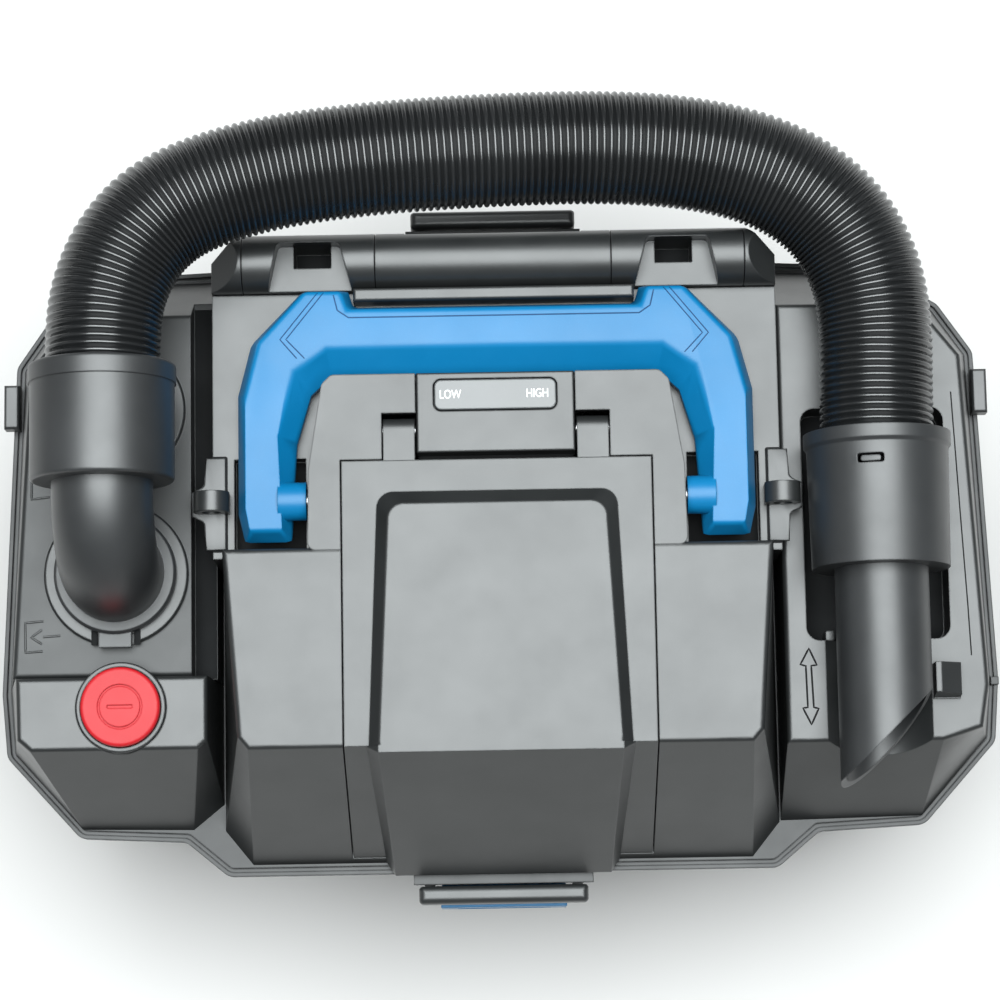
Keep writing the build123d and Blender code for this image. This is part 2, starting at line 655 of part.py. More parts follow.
def make_nozzle():
    """The mouth is cut straight down at a slant; below the axis the cut leans forward as well."""
    nozzle = lengthways(RIGHT_X, -104.0, 11.6, RIGHT_Z, NOZZLE_R)
    nozzle -= lengthways(RIGHT_X, -105.0, 12.0, RIGHT_Z, NOZZLE_R - 2.0)
    left = RIGHT_X - NOZZLE_R - 1
    right = RIGHT_X + NOZZLE_R + 1
    slant = [(left, -94.8), (left, -140), (right, -140), (right, -59.3)]
    leaning = [(x, y - 14.0) for x, y in slant]
    nozzle -= prism(slant, RIGHT_Z, RIGHT_Z + 30)
    return nozzle - tapered(leaning, RIGHT_Z - 30, slant, RIGHT_Z)


def hose_radii(route):
    """The arc at each corner: 0.45 of the shorter run, divided by the tangent of half the turn."""
    radii = []
    for a, b, c in zip(route, route[1:], route[2:]):
        before = Vector(*b) - Vector(*a)
        after = Vector(*c) - Vector(*b)
        half_turn = math.radians(before.get_angle(after)) / 2
        radii.append(0.45 * min(before.length, after.length) / math.tan(half_turn))
    return radii


def make_hose():
    radii = hose_radii(HOSE_ROUTE)
    print("hose radii", [round(r) for r in radii])
    path = FilletPolyline(*HOSE_ROUTE, radius=radii)
    start = Vector(*HOSE_ROUTE[0])
    heading = Vector(*HOSE_ROUTE[1]) - start
    mouth = Plane(origin=start, z_dir=heading)
    hose = sweep(mouth * (Circle(HOSE_R) - Circle(HOSE_BORE_R)), path=path.wire())
    length = path.wire().length
    area = math.pi * (HOSE_R ** 2 - HOSE_BORE_R ** 2)
    print("hose length", round(length, 1), "volume / (area x length)", round(hose.volume / area / length, 4))
    return hose


def make_nozzle_clip():
    """A stop beside the nozzle. Its top slopes away from the nozzle, with a flat strip along it."""
    slope = [(159.6, DECK_Z), (159.6, 195.0), (161.6, 195.0), (169.5, 190.0), (169.5, DECK_Z)]
    clip = extrude(Plane.XZ.offset(50.0) * Polygon(*slope, align=None), amount=13.0, dir=(0, -1, 0))
    front = [(-64.0, 196.0), (-64.0, 186.0), (-62.4, 186.0), (-60.9, 196.0)]
    return clip - side_profile(front, 158.0, 171.0)


# ---- latches ----
def make_latch(sign):
    """The dark hook plate that rocks on its pin; built for the rear and mirrored for the front."""
    plate = block(-32.0, 32.0, 127.2, 134.0, 133.0, 146.5)
    plate = soften(plate, plate.edges().filter_by(Axis.Z), 1.5)
    plate = soften(plate, edges_at(plate, 146.5), 2.6)
    return plate if sign > 0 else mirror(plate, about=Plane.XZ)


def make_latch_lever(sign):
    lever = block(-24.0, 24.0, 127.2, 135.0, 104.5, 133.0)
    lever += across(-24.0, 24.0, LATCH_Y, LATCH_Z, 4.0)
    lever += across(-26.2, 26.2, LATCH_Y, LATCH_Z, 3.4)
    lever -= block(-18.0, 18.0, 133.0, 136.0, 106.0, 116.0)
    lever -= across(-30.0, 30.0, LATCH_Y, LATCH_Z, 1.76)
    return lever if sign > 0 else mirror(lever, about=Plane.XZ)


def make_latch_pin(sign):
    return across(-30.6, 30.6, sign * LATCH_Y, LATCH_Z, 1.7)


# ---- motor, fan and filter ----
def make_motor_can():
    can = upright(0, MOTOR_Y, 126.0, 166.0, 31.0)
    can -= upright(0, MOTOR_Y, 128.0, 164.0, 28.8)
    can += upright(0, MOTOR_Y, 124.0, 128.0, 46.6)
    can -= upright(0, MOTOR_Y, 120.0, 170.0, 8.05)
    for k in range(8):
        angle = math.radians(45 * k)
        can -= upright(38.5 * math.cos(angle), MOTOR_Y + 38.5 * math.sin(angle), 120.0, 130.0, 5.5)
    return can


def make_stator():
    ring = upright(0, MOTOR_Y, 136.0, 158.0, 28.7)
    ring -= upright(0, MOTOR_Y, 135.0, 159.0, 16.5)
    for k in range(6):
        angle = math.radians(60 * k)
        ring -= upright(22.6 * math.cos(angle), MOTOR_Y + 22.6 * math.sin(angle), 135.0, 159.0, 3.6)
    return ring


def make_rotor():
    return upright(0, MOTOR_Y, 108.4, 166.0, 3.0) + upright(0, MOTOR_Y, 138.0, 156.0, 15.8)


def make_bearings():
    rings = []
    for z in (124.0, 162.0):
        ring = upright(0, MOTOR_Y, z, z + 4.0, 8.0) - upright(0, MOTOR_Y, z - 1, z + 5, 3.06)
        rings.append(ring)
    return Compound(rings)


def make_impeller():
    wheel = upright(0, MOTOR_Y, 118.0, 120.0, 42.0) + upright(0, MOTOR_Y, 110.0, 120.0, 8.0)
    for k in range(7):
        blade = Pos(0, MOTOR_Y, 114.0) * Rot(0, 0, 360 / 7 * k) * Pos(23.5, 4.0, 0) * Box(36.0, 1.6, 8.2)
        wheel += blade
    return wheel - upright(0, MOTOR_Y, 100.0, 125.0, 3.02)


def make_fan_housing():
    housing = upright(0, MOTOR_Y, 104.0, BASE_LOW, 50.0)
    housing += upright(0, MOTOR_Y, 135.0, BASE_LOW, 52.0)
    housing -= upright(0, MOTOR_Y, 107.0, BASE_LOW + 1, 46.9)
    return housing - upright(0, MOTOR_Y, 100.0, 110.0, 20.0)


def make_filter_cage():
    cage = upright(0, MOTOR_Y, 62.0, 103.9, 31.0) - upright(0, MOTOR_Y, 65.0, 100.9, 28.6)
    cage -= upright(0, MOTOR_Y, 100.0, 105.0, 11.0)
    for k in range(3):
        cage -= Pos(0, MOTOR_Y, 84.0) * Rot(0, 0, 60 * k) * Box(80.0, 12.0, 30.0)
    return cage + upright(0, MOTOR_Y, 38.0, 64.0, 4.0)


def make_float_ball():
    return Pos(0, MOTOR_Y, 79.0) * Sphere(13.5)


def make_filter():
    return upright(0, MOTOR_Y, 52.4, 103.6, 44.0) - upright(0, MOTOR_Y, 50.0, 105.0, 33.0)


def make_filter_plate():
    plate = upright(0, MOTOR_Y, 49.0, 52.2, 45.0)
    return plate - upright(0, MOTOR_Y, 48.0, 53.0, 4.3)


def make_filter_nut():
    nut = upright(0, MOTOR_Y, 38.0, 48.8, 13.0)
    for k in range(6):
        angle = math.radians(60 * k)
        nut -= upright(16.0 * math.cos(angle), MOTOR_Y + 16.0 * math.sin(angle), 37.0, 50.0, 5.0)
    return nut - upright(0, MOTOR_Y, 37.0, 50.0, 4.05)


# ---- battery ----
BAY = (-55.0, 55.0, -77.0, 20.0)


def make_battery_bay():
    x0, x1, y0, y1 = BAY
    bay = block(x0, x1, y0, y1, BASE_TOP + 2.0, 205.0)
    bay += block(x0 + 4, x0 + 14, y0 + 10, y0 + 20, BASE_TOP, BASE_TOP + 2.0)
    bay += block(x1 - 14, x1 - 4, y0 + 10, y0 + 20, BASE_TOP, BASE_TOP + 2.0)
    bay -= block(x0 + 2.5, x1 - 2.5, y0 + 2.5, y1 - 2.5, BASE_TOP + 5.0, 206.0)
    return bay


def make_terminal_block():
    terminals = block(-18.0, 18.0, 9.0, 17.4, 152.0, 172.0)
    for x in (-10.0, 0.0, 10.0):
        terminals += block(x - 0.5, x + 0.5, 1.5, 9.0, 156.0, 168.0)
    return terminals


def make_battery():
    pack = block(-49.0, 49.0, -61.0, 16.6, BASE_TOP + 5.0, 200.0)
    pack = fillet(pack.edges().filter_by(Axis.Z), 4.0)
    pack -= block(-20.0, 20.0, 0.0, 20.0, 150.0, 174.0)
    pack -= block(-12.3, 12.3, -70.0, -52.0, 176.0, 190.3)
    return pack


def make_release():
    return block(-12.0, 12.0, -62.6, -55.5, 176.3, 190.0)


def make_circuit_board():
    board = block(-26.0, 26.0, 28.0, 52.0, 196.0, 197.6)
    board += block(-18.0, -6.0, 34.0, 44.0, 197.6, 200.6)
    board += block(6.0, 14.0, 33.0, 41.0, 197.6, 199.6)
    for x in (-22.0, 22.0):
        board += upright(x, 49.0, 197.6, 206.0, 2.2)
    return board


NODES = {
    "tank": make_tank,
    "rubber_feet": make_feet,
    "rim_gasket": make_rim_gasket,
    "head_base": make_head_base,
    "base_screws": make_base_screws,
    "side_hooks": make_side_hooks,
    "centre_cover": make_centre_cover,
    "right_cover": make_right_cover,
    "left_cover": make_left_cover,
    "button_housing": make_button_housing,
    "button_bezel": make_bezel,
    "power_button": make_power_button,
    "button_spring": make_button_spring,
    "power_switch": make_power_switch,
    "battery_lid": make_battery_lid,
    "lid_pins": make_lid_pins,
    "control_panel": make_control_panel,
    "speed_rocker": make_rocker,
    "rocker_pin": make_rocker_pin,
    "rear_bar_centre": make_bar_centre,
    "rear_bar_left": lambda: make_bar_side(-1),
    "rear_bar_right": lambda: make_bar_side(1),
    "bar_end_left": lambda: make_bar_end(-1),
    "bar_end_right": lambda: make_bar_end(1),
    "grip_rest": make_grip_rest,
    "handle": make_handle,
    "handle_pins": make_handle_pins,
    "strap_eyelets": make_eyelets,
    "suction_port": make_suction_port,
    "blower_port": make_blower_port,
    "inlet_duct": make_inlet_duct,
    "elbow": make_elbow,
    "left_cuff": make_left_cuff,
    "hose": make_hose,
    "right_cuff": make_right_cuff,
    "crevice_nozzle": make_nozzle,
    "nozzle_clip": make_nozzle_clip,
    "front_latch": lambda: make_latch(-1),
    "front_latch_lever": lambda: make_latch_lever(-1),
    "front_latch_pin": lambda: make_latch_pin(-1),
    "rear_latch": lambda: make_latch(1),
    "rear_latch_lever": lambda: make_latch_lever(1),
    "rear_latch_pin": lambda: make_latch_pin(1),
    "motor_can": make_motor_can,
    "stator": make_stator,
    "rotor": make_rotor,
    "bearings": make_bearings,
    "impeller": make_impeller,
    "fan_housing": make_fan_housing,
    "filter_cage": make_filter_cage,
    "float_ball": make_float_ball,
    "filter": make_filter,
    "filter_plate": make_filter_plate,
    "filter_nut": make_filter_nut,
    "battery_bay": make_battery_bay,
    "terminal_block": make_terminal_block,
    "battery": make_battery,
    "battery_release": make_release,
    "circuit_board": make_circuit_board,
}

os.makedirs("parts", exist_ok=True)
for node, make in NODES.items():
    export_step(make(), f"parts/{node}.step")
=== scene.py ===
import json
import math

import bmesh
import bpy
from mathutils import Matrix, Quaternion, Vector
from mathutils.bvhtree import BVHTree


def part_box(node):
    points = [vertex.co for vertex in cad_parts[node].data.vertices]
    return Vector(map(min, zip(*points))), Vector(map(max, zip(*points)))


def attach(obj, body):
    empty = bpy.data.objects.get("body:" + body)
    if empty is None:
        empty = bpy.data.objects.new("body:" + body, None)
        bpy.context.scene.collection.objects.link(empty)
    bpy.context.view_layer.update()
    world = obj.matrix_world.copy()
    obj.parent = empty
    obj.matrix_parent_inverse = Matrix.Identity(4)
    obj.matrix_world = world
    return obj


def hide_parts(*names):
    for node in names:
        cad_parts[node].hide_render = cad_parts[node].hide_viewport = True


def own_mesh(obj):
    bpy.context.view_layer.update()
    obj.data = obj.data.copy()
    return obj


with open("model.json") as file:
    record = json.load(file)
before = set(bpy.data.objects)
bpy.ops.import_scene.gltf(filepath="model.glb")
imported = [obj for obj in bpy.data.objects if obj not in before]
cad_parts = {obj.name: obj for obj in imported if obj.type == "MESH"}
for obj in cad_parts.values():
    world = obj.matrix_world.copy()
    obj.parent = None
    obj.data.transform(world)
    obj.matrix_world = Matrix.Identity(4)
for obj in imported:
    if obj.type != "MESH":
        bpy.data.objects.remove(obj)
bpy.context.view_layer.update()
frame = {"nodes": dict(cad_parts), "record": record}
scene = bpy.context.scene
nodes = frame["nodes"]
slots = {part["node"]: part["material_slot"] for part in frame["record"]["subparts"]}

# Lengths are in metres unless a comment says millimetres.
MM = 0.001
UP = Vector((0, 0, 1))

# ---- camera ----
LOOK_AT = Vector((0.0011, 0.014, 0.185))
TILT = math.radians(8.5)       # how far the camera leans from straight down, towards the front
ROLL = math.radians(1.0)
DISTANCE = 1.2
LENS = 116.1                   # focal length in millimetres, for a sensor 36 mm wide


def make_camera():
    """A long lens, nearly straight above the machine and turned by the roll."""
    data = bpy.data.cameras.new("camera")
    data.lens = LENS
    data.sensor_width = 36.0
    data.clip_start = 0.05
    data.clip_end = 60.0
    camera = bpy.data.objects.new("camera", data)
    scene.collection.objects.link(camera)
    camera.location = LOOK_AT + DISTANCE * Vector((0, -math.sin(TILT), math.cos(TILT)))
    aim = (LOOK_AT - camera.location).to_track_quat("-Z", "Y")
    camera.rotation_mode = "QUATERNION"
    camera.rotation_quaternion = aim @ Quaternion(UP, -ROLL)
    scene.camera = camera


make_camera()


# ---- mesh helpers ----
def new_object(name, bm, smooth_angle=35.0):
    """A mesh object from a bmesh, shaded smooth except at edges sharper than the angle."""
    mesh = bpy.data.meshes.new(name)
    bmesh.ops.recalc_face_normals(bm, faces=bm.faces)
    limit = math.radians(smooth_angle)
    for edge in bm.edges:
        edge.smooth = len(edge.link_faces) == 2 and edge.calc_face_angle(0.0) < limit
    for face in bm.faces:
        face.smooth = True
    bm.to_mesh(mesh)
    bm.free()
    obj = bpy.data.objects.new(name, mesh)
    scene.collection.objects.link(obj)
    return obj


def finish_piece(obj, body, material, stands_for=()):
    """Gives a piece its material and body, and hides the CAD nodes that it stands for."""
    obj.data.materials.clear()
    obj.data.materials.append(material)
    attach(obj, body)
    if stands_for:
        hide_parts(*stands_for)


def centre_line(points):
    """The points of a smooth NURBS curve with the given control points, read from the curve itself."""
    data = bpy.data.curves.new("route", "CURVE")
    data.dimensions = "3D"
    data.resolution_u = 24
    spline = data.splines.new("NURBS")
    spline.points.add(len(points) - 1)
    for point, place in zip(spline.points, points):
        point.co = (*place, 1.0)
    spline.order_u = 3
    spline.use_endpoint_u = True
    route = bpy.data.objects.new("route", data)
    scene.collection.objects.link(route)
    bpy.context.view_layer.update()
    graph = bpy.context.evaluated_depsgraph_get()
    mesh = bpy.data.meshes.new_from_object(route.evaluated_get(graph))
    line = [vertex.co.copy() for vertex in mesh.vertices]
    bpy.data.objects.remove(route)
    bpy.data.meshes.remove(mesh)
    return line


def line_length(line):
    """The length of a line of points."""
    return sum((b - a).length for a, b in zip(line, line[1:]))


def headings_of(points):
    """The direction of travel at each point of a line."""
    last = len(points) - 1
    return [(points[min(k + 1, last)] - points[max(k - 1, 0)]).normalized() for k in range(last + 1)]


def even_steps(line, step):
    """Evenly spaced points along the line, about a step apart."""
    total = line_length(line)
    count = int(total / step)
    found = []
    index = 0
    walked = 0.0
    run = (line[1] - line[0]).length
    for k in range(count + 1):
        target = total * k / count
        while walked + run < target - 1e-9 and index < len(line) - 2:
            walked += run
            index += 1
            run = (line[index + 1] - line[index]).length
        share = min(1.0, (target - walked) / run)
        found.append(line[index].lerp(line[index + 1], share))
    return found


def circle(centre, across, up, radii):
    """Points round a centre, one for each radius, in the plane of two directions."""
    count = len(radii)
    found = []
    for k, radius in enumerate(radii):
        angle = 2 * math.pi * k / count
        found.append(centre + (across * math.cos(angle) + up * math.sin(angle)) * radius)
    return found


def join_rings(bm, low, high):
    """Faces between two rings that have the same number of points."""
    for k in range(len(low)):
        n = (k + 1) % len(low)
        bm.faces.new((low[k], low[n], high[n], high[k]))


def tube_along(bm, places, headings, radii, sides):
    """Rings of the given radii along a line, joined into a tube. The rings don't twist."""
    across = headings[0].orthogonal().normalized()
    rings = []
    for place, heading, radius in zip(places, headings, radii):
        across = (across - heading * across.dot(heading)).normalized()
        points = circle(place, across, heading.cross(across), [radius] * sides)
        rings.append([bm.verts.new(point) for point in points])
    for low, high in zip(rings, rings[1:]):
        join_rings(bm, low, high)
    return rings


# ---- materials ----
def tree_of(name):
    """A new node material, its tree and its shader."""
    material = bpy.data.materials.new(name)
    material.use_nodes = True
    tree = material.node_tree
    return material, tree, tree.nodes["Principled BSDF"]


def toned(colour, factor, lift=0.0):
    """The colour made darker or lighter by a factor, with a little white added."""
    return tuple(min(1.0, channel * factor + lift) for channel in colour)


def noise(tree, scale, detail=2.0, rough=0.5, stretch=None):
    """A noise texture in the object's own metres. The scale is the number of waves in a metre."""
    coord = tree.nodes.new("ShaderNodeTexCoord")
    mapping = tree.nodes.new("ShaderNodeMapping")
    mapping.inputs["Scale"].default_value = stretch or (1.0, 1.0, 1.0)
    texture = tree.nodes.new("ShaderNodeTexNoise")
    texture.inputs["Scale"].default_value = scale
    texture.inputs["Detail"].default_value = detail
    texture.inputs["Roughness"].default_value = rough
    tree.links.new(coord.outputs["Object"], mapping.inputs["Vector"])
    tree.links.new(mapping.outputs["Vector"], texture.inputs["Vector"])
    return texture.outputs["Fac"]


def ramp(tree, source, stops):
    """A ramp with stops of (place, value). A value is a grey level or a colour."""
    node = tree.nodes.new("ShaderNodeValToRGB")
    elements = node.color_ramp.elements
    for element, (place, value) in zip(elements, stops):
        colour = (value,) * 3 if isinstance(value, float) else value
        element.position = place
        element.color = (*colour, 1.0)
    tree.links.new(source, node.inputs["Fac"])
    return node.outputs["Color"]


def math_node(tree, operation, a, b):
    """A math operation on two values, each a socket or a plain number."""
    node = tree.nodes.new("ShaderNodeMath")
    node.operation = operation
    for value, socket in ((a, node.inputs[0]), (b, node.inputs[1])):
        if isinstance(value, float):
            socket.default_value = value
        else:
            tree.links.new(value, socket)
    return node.outputs[0]


def mix(tree, factor, a, b):
    """A mix from a, a colour or a socket, to the colour b."""
    node = tree.nodes.new("ShaderNodeMix")
    node.data_type = "RGBA"
    tree.links.new(factor, node.inputs["Factor"])
    colour_a, colour_b = node.inputs[6], node.inputs[7]
    if isinstance(a, tuple):
        colour_a.default_value = (*a, 1.0)
    else:
        tree.links.new(a, colour_a)
    colour_b.default_value = (*b, 1.0)
    return node.outputs[2]


def rounded_normal(tree, radius):
    """The normal with every hard edge rounded to the radius."""
    node = tree.nodes.new("ShaderNodeBevel")
    node.samples = 4
    node.inputs["Radius"].default_value = radius
    return node.outputs["Normal"]


def edge_share(tree, rounded):
    """How near the surface is to an edge: 0 on the flats, more where the rounded normal turns away."""
    geometry = tree.nodes.new("ShaderNodeNewGeometry")
    dot = tree.nodes.new("ShaderNodeVectorMath")
    dot.operation = "DOT_PRODUCT"
    tree.links.new(geometry.outputs["Normal"], dot.inputs[0])
    tree.links.new(rounded, dot.inputs[1])
    return ramp(tree, math_node(tree, "SUBTRACT", 1.0, dot.outputs["Value"]), [(0.02, 0.0), (0.30, 1.0)])


def bumped(tree, shader, heights, normal=None):
    """Chains bumps of (height, strength, distance) onto the shader's normal."""
    for height, strength, distance in heights:
        bump = tree.nodes.new("ShaderNodeBump")
        bump.inputs["Strength"].default_value = strength
        bump.inputs["Distance"].default_value = distance
        tree.links.new(height, bump.inputs["Height"])
        if normal is not None:
            tree.links.new(normal, bump.inputs["Normal"])
        normal = bump.outputs["Normal"]
    tree.links.new(normal, shader.inputs["Normal"])


def moulded(name, colour, rough, specular=0.5, grain=1.0, edge=0.0007, wear=0.35, cloud=0.16):
    """Moulded plastic: spark-eroded grain, handling clouds, fine specks and slightly burnished edges.

    The grain is its size, edge the radius of the hard edges in metres, wear how much lighter they are,
    and cloud how far the colour wanders."""
    material, tree, shader = tree_of(name)
    clouds = noise(tree, 26.0, 4.0, 0.55)
    body = ramp(tree, clouds, [(0.32, toned(colour, 1 - cloud)), (0.68, toned(colour, 1 + cloud, 0.002))])
    specks = ramp(tree, noise(tree, 1900.0, 1.0), [(0.62, 0.0), (0.72, 1.0)])
    body = mix(tree, math_node(tree, "MULTIPLY", specks, 0.10), body, toned(colour, 1.6, 0.01))
    normal = None
    if edge:
        normal = rounded_normal(tree, edge)
        worn = math_node(tree, "MULTIPLY", edge_share(tree, normal), wear)
        body = mix(tree, worn, body, toned(colour, 1.9, 0.015))
    tree.links.new(body, shader.inputs["Base Color"])
    smears = noise(tree, 38.0, 6.0, 0.62)
    roughness = ramp(tree, smears, [(0.30, rough - 0.035), (0.72, rough + 0.045)])
    tree.links.new(roughness, shader.inputs["Roughness"])
    shader.inputs["Specular IOR Level"].default_value = specular
    fine = noise(tree, 2400.0 / grain, 2.0, 0.6)
    waves = noise(tree, 70.0, 2.0)
    bumped(tree, shader, [(fine, 0.16, 0.00005 * grain), (waves, 0.06, 0.0004)], normal)
    return material


def rubber(name, colour):
    """Dull rubber with chalky patches."""
    material, tree, shader = tree_of(name)
    body = ramp(tree, noise(tree, 90.0, 4.0), [(0.3, colour), (0.75, toned(colour, 1.8, 0.01))])
    tree.links.new(body, shader.inputs["Base Color"])
    roughness = ramp(tree, noise(tree, 300.0, 3.0), [(0.3, 0.62), (0.7, 0.82)])
    tree.links.new(roughness, shader.inputs["Roughness"])
    bumped(tree, shader, [(noise(tree, 1500.0, 3.0), 0.35, 0.0001)], rounded_normal(tree, 0.0006))
    return material


def brushed(name, colour, rough=0.32):
    """Metal with fine lines along X and faint stains."""
    material, tree, shader = tree_of(name)
    shader.inputs["Metallic"].default_value = 1.0
    lines = noise(tree, 1200.0, 3.0, 0.6, (0.05, 1.0, 1.0))
    stains = ramp(tree, noise(tree, 60.0, 4.0), [(0.4, 0.0), (0.7, 0.5)])
    tree.links.new(mix(tree, stains, colour, toned(colour, 0.72)), shader.inputs["Base Color"])
    roughness = ramp(tree, lines, [(0.3, rough - 0.08), (0.7, rough + 0.12)])
    tree.links.new(roughness, shader.inputs["Roughness"])
    bumped(tree, shader, [(lines, 0.12, 0.00005)], rounded_normal(tree, 0.0003))
    return material


def pleated(name, colour):
    """Filter paper: fibres, and dust in patches."""
    material, tree, shader = tree_of(name)
    dust = ramp(tree, noise(tree, 35.0, 5.0), [(0.45, 0.0), (0.75, 0.55)])
    tree.links.new(mix(tree, dust, colour, toned(colour, 0.62)), shader.inputs["Base Color"])
    shader.inputs["Roughness"].default_value = 0.92
    shader.inputs["Sheen Weight"].default_value = 0.25
    fibres = noise(tree, 900.0, 4.0, 0.7, (1.0, 1.0, 0.2))
    bumped(tree, shader, [(fibres, 0.5, 0.0002)], rounded_normal(tree, 0.0004))
    return material


MATERIALS = {
    "cover_grey": moulded("moulded_cover", (0.0125, 0.0135, 0.0138), 0.37, specular=0.72),
    "tank_grey": moulded("moulded_tank", (0.0125, 0.0130, 0.0135), 0.44, specular=0.50, grain=1.3),
    "handle_blue": moulded("handle_blue", (0.0008, 0.130, 0.300), 0.38, specular=0.36, wear=0.10, cloud=0.05),
    "button_red": moulded("button_red", (0.40, 0.009, 0.014), 0.40, specular=0.26, wear=0.10, cloud=0.06),
    "plate_silver": moulded("plate_silver", (0.045, 0.048, 0.050), 0.22, specular=0.72, wear=0.1, cloud=0.05),
    "hose_black": moulded("hose_black", (0.0075, 0.008, 0.0085), 0.26, specular=0.78, grain=0.6, edge=0.0),
    "cuff_grey": moulded("cuff_grey", (0.016, 0.017, 0.018), 0.44, specular=0.80, grain=0.8),
    "rubber_black": rubber("rubber_black", (0.012, 0.012, 0.012)),
    "steel": brushed("steel", (0.50, 0.50, 0.51)),
    "filter_white": pleated("filter_paper", (0.60, 0.585, 0.54)),
    "inner_black": moulded("inner_black", (0.012, 0.012, 0.013), 0.5, specular=0.35, edge=0.0),
    "brass_contacts": brushed("brass", (0.70, 0.52, 0.23), 0.25),
    "board_green": moulded("board_green", (0.008, 0.085, 0.035), 0.3, specular=0.5, cloud=0.3, edge=0.0),
}
# shadow_black is painted shade: matt black laid where recesses, gaps, notches and grooves fall into shade
SHADOW_BLACK = moulded("shadow_black", (0.006, 0.0065, 0.007), 0.62, specular=0.10, edge=0.0, wear=0.2)
# a duller copy of the cover plastic, same colour: painted shade on the left deck under the hose
SHADED_COVER_COPY = moulded("cover_painted_shade", (0.0125, 0.0135, 0.0138), 0.42, specular=0.50)
# a darker copy of the handle's blue: painted shade of the grooves cut in the bail
GROOVE_SHADE_BLUE = moulded("painted_groove_shade_blue", (0.0006, 0.040, 0.120), 0.5, specular=0.2, edge=0.0)
PRINT_WHITE = moulded("printed_white", (0.86, 0.87, 0.88), 0.45, specular=0.4, edge=0.0, cloud=0.03)


def dress_nodes():
    """Gives every CAD node its own slot's material. The left cover gets a duller copy of the cover plastic,
    which paints the shade that falls on its deck.
    """
    for name, node in nodes.items():
        material = SHADED_COVER_COPY if name == "left_cover" else MATERIALS[slots[name]]
        for slot in node.material_slots:
            slot.material = material


dress_nodes()

# ---- hose ----
HOSE_BORE_R = 0.0176
HOSE_SIDES = 64
HOSE_ROUTE = [
    (-0.1415, 0.0450, 0.2290),
    (-0.1416, 0.0650, 0.2290),
    (-0.1402, 0.0855, 0.2280),
    (-0.1318, 0.1048, 0.2265),
    (-0.1166, 0.1195, 0.2245),
    (-0.0890, 0.1298, 0.2220),
    (-0.0520, 0.1360, 0.2195),
    (-0.0020, 0.1398, 0.2160),
    (0.0440, 0.1412, 0.2125),
    (0.0770, 0.1388, 0.2095),
    (0.1045, 0.1314, 0.2075),
    (0.1258, 0.1170, 0.2055),
    (0.1376, 0.0970, 0.2040),
    (0.1410, 0.0755, 0.2035),
    (0.1402, 0.0530, 0.2035),
    (0.1398, 0.0310, 0.2035),
]
RIDGE_PITCH = 0.00264
# one ridge: how far along it, as a share of the pitch, and the radius there
RIDGE = [(-0.5, 0.0196), (-0.38, 0.0199), (-0.24, 0.0206), (0.0, 0.0209), (0.24, 0.0206), (0.38, 0.0199)]


def ring_edges(ring):
    """The edges that run round a ring of points."""
    return {edge for vert in ring for edge in vert.link_edges if edge.other_vert(vert) in ring}


def make_hose():
    """The corrugated hose, ridge by ridge along its route, with a plain bore."""
    line = centre_line(HOSE_ROUTE)
    steps = even_steps(line, RIDGE_PITCH)
    headings = headings_of(steps)
    places, directions, radii = [], [], []
    for k in range(1, len(steps) - 1):
        reach = (steps[k + 1] - steps[k - 1]).length / 2
        for share, radius in RIDGE:
            neighbour = headings[k + 1 if share > 0 else k - 1]
            places.append(steps[k] + headings[k] * (reach * share))
            directions.append(headings[k].lerp(neighbour, abs(share)).normalized())
            radii.append(radius)
    bm = bmesh.new()
    outside = tube_along(bm, places, directions, radii, HOSE_SIDES)
    bore = [HOSE_BORE_R] * (len(steps) - 2)
    inside = tube_along(bm, steps[1:-1], headings[1:-1], bore, HOSE_SIDES)
    for end in (0, -1):
        rims = ring_edges(outside[end]) | ring_edges(inside[end])
        bmesh.ops.bridge_loops(bm, edges=list(rims))
    hose = new_object("corrugated_hose", bm, 80.0)
    finish_piece(hose, "hose_set", MATERIALS["hose_black"], ["hose"])


make_hose()


# ---- small pieces laid on the CAD's surfaces, in millimetres ----
LINE_SINK = 0.15               # how far the feet of a ridge reach under the surface
LINE_STEP = 1.2                # how closely a ridge follows the surface
CHANNEL_FLOOR_Z = 171.0        # beside the left port
TUB_FLOOR_Z = 168.0            # under the right cuff
WELL_FLOOR_Z = 185.5           # under the handle's pivots
SLOT_FLOOR_Z = 179.0           # in the accessory slots of the rear bar
PANEL_GAP_Z = 205.1            # under the gap between the lid and the control panel
PORT_COLLAR_Z = 187.35         # the collar that the elbow locks into
EYELET_SEAT_Z = 193.0
WORD_Y = 48.6
WORD_HEIGHT = 3.3
WORD_NARROWING = 0.74
PRINT_RISE = 0.04              # how far the words' middle stands above the plate
PRINT_DEPTH = 0.05
CUFF_AXIS = Vector((139.8, 0.0, 203.5))
CUFF_WINDOW_TURN = math.radians(12.0)


def surface_of(mesh):
    """A search tree over a mesh's faces, to find its surface from above."""
    return BVHTree.FromPolygons([vert.co.copy() for vert in mesh.vertices],
                                [list(face.vertices) for face in mesh.polygons])


def stepped(points, closed):
    """Points along straight runs, in metres, close enough together to follow a surface."""
    corners = [Vector((x, y, 0.0)) * MM for x, y in points]
    if closed:
        corners.append(corners[0])
    found = []
    for a, b in zip(corners, corners[1:]):
        count = max(1, math.ceil((b - a).length / (LINE_STEP * MM)))
        found += [a.lerp(b, k / count) for k in range(count)]
    if not closed:
        found.append(corners[-1])
    return found


